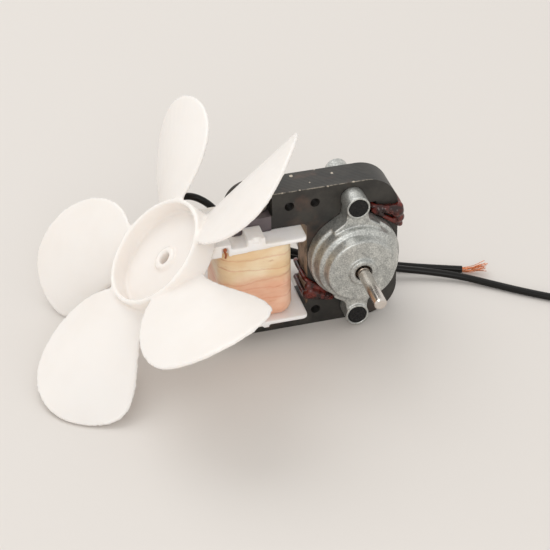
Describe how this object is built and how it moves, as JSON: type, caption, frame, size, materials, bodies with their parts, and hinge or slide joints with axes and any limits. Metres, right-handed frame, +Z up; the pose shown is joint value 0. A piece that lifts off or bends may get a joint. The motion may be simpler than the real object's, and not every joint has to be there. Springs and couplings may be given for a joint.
{
  "type": "evaporator fan motor",
  "caption": "Open frame shaded pole motor with stepped die cast bearing brackets, a taped coil on a white bobbin, two leads and a white bladed fan leaning on it.",
  "frame": {"origin": "on the surface below, under the shaft axis, in the middle of the thickness of the lamination stack", "axes": "+Z up, X along the frame with the coil at -X and the rotor at +X, -Y along the shaft towards its free end"},
  "size_m": [0.215, 0.1329, 0.0904],
  "materials": {
    "black_laminations": "black enamelled steel sheets, worn to bright metal at a few edges",
    "core_laminations": "dark varnished steel sheets",
    "white_nylon": "moulded white nylon",
    "magnet_wire": "enamelled copper wire",
    "coil_tape": "yellow beige film tape, pinker towards the bottom",
    "shading_copper": "copper under brown red varnish",
    "die_cast_zinc": "grainy bare zinc casting",
    "sintered_bronze": "porous bronze",
    "oil_felt": "oiled wool felt",
    "spring_steel": "thin spring steel",
    "rotor_steel": "bare steel sheets",
    "cage_aluminium": "cast aluminium",
    "shaft_steel": "ground steel",
    "washer_fibre": "pressed fibre",
    "black_screw": "blackened steel",
    "bright_screw": "plated steel",
    "lead_insulation": "black soft plastic insulation",
    "bare_copper": "bare copper strands",
    "fan_plastic": "white moulded plastic, slightly translucent"
  },
  "bodies": {
    "motor": {"stator_laminations": "black_laminations", "coil_core_laminations": "core_laminations", "coil_bobbin": "white_nylon", "coil_winding": "magnet_wire", "coil_tape_wrap": "coil_tape", "shading_ring_upper_1": "shading_copper", "shading_ring_upper_2": "shading_copper", "shading_ring_lower_1": "shading_copper", "shading_ring_lower_2": "shading_copper", "front_bracket": "die_cast_zinc", "rear_bracket": "die_cast_zinc", "front_bearing": "sintered_bronze", "rear_bearing": "sintered_bronze", "front_oil_felt": "oil_felt", "rear_oil_felt": "oil_felt", "front_bearing_retainer": "spring_steel", "rear_bearing_retainer": "spring_steel", "bracket_screws": "black_screw", "corner_screw": "bright_screw", "lead_wire_a": "lead_insulation", "lead_wire_b": "lead_insulation", "lead_strands_a": "bare_copper", "lead_strands_b": "bare_copper", "fan": "fan_plastic"},
    "rotor": {"shaft": "shaft_steel", "rotor_laminations": "rotor_steel", "rotor_cage": "cage_aluminium", "front_thrust_washer": "washer_fibre", "rear_thrust_washer": "washer_fibre"}
  },
  "joints": [
    {"name": "rotor_spin", "type": "hinge", "parent": "motor", "child": "rotor", "pos_m": [0, 0, 0.0305], "axis": [0, -1, 0], "continuous": true}
  ]
}
